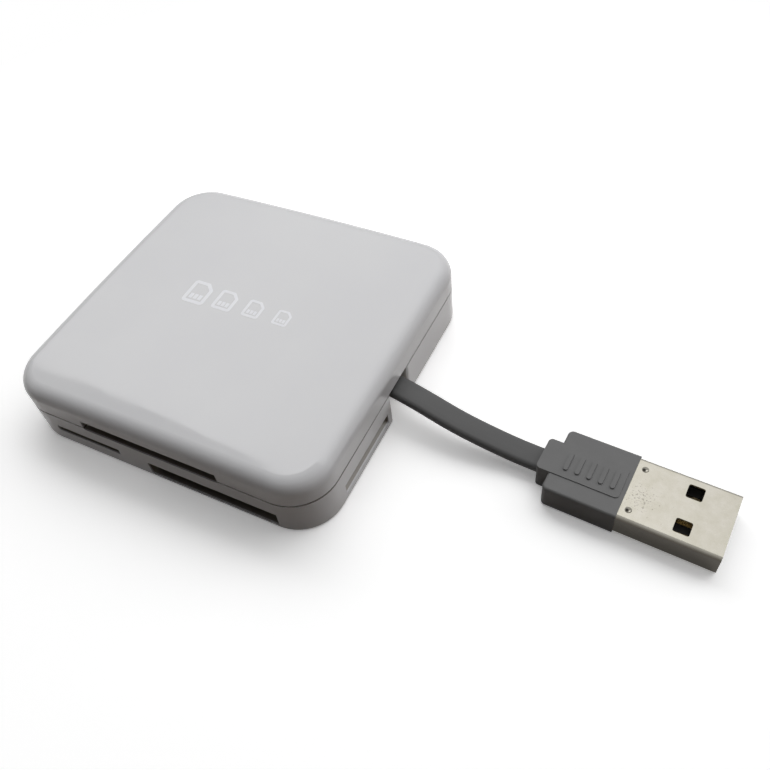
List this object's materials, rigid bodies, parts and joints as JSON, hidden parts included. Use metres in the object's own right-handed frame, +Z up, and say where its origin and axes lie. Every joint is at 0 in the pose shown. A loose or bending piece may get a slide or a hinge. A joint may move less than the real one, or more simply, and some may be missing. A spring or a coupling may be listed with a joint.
{
  "type": "usb memory card reader",
  "caption": "Low square plastic card reader with thin card slots in its edges and a short flat lead ending in a rectangular metal plug.",
  "frame": {"origin": "middle of the case's underside, on the surface it rests on", "axes": "+Z up; +X along the case's longer side, towards the side where the lead leaves; the face with most slots looks to -Y"},
  "size_m": [0.1189, 0.059, 0.0138],
  "materials": {
    "case_white": "polished moulded plastic",
    "board_green": "glass-filled laminate with solder mask",
    "socket_plastic": "moulded",
    "socket_steel": "stamped sheet",
    "contact_gold": "gold plated",
    "chip_black": "moulded",
    "solder_tin": "tinned",
    "can_metal": "drawn sheet",
    "lamp_clear": "clear moulded",
    "capacitor_tan": "fired ceramic",
    "core_red": "extruded",
    "core_white": "extruded",
    "core_green": "extruded",
    "core_black": "extruded",
    "lead_grey": "satin extruded jacket",
    "grip_grey": "satin moulded",
    "plug_nickel": "nickel plated sheet",
    "tongue_black": "moulded"
  },
  "bodies": {
    "root": {"top_cover": "case_white", "bottom_cover": "case_white", "circuit_board": "board_green", "upper_socket_base": "socket_plastic", "upper_socket_shell": "socket_steel", "upper_socket_contacts": "contact_gold", "micro_socket_base": "socket_plastic", "micro_socket_shell": "socket_steel", "micro_socket_contacts": "contact_gold", "stick_socket_base": "socket_plastic", "stick_socket_shell": "socket_steel", "stick_socket_contacts": "contact_gold", "side_socket_base": "socket_plastic", "side_socket_shell": "socket_steel", "side_socket_contacts": "contact_gold", "controller_chip": "chip_black", "controller_leads": "solder_tin", "crystal": "can_metal", "status_lamp": "lamp_clear", "capacitors": "capacitor_tan", "resistors": "chip_black", "regulator": "chip_black", "core_red": "core_red", "core_white": "core_white", "core_green": "core_green", "core_black": "core_black", "solder_joints": "solder_tin", "flat_lead": "lead_grey", "plug_grip": "grip_grey", "plug_tube": "plug_nickel", "plug_tongue": "tongue_black", "plug_contacts": "contact_gold"}
  },
  "joints": []
}
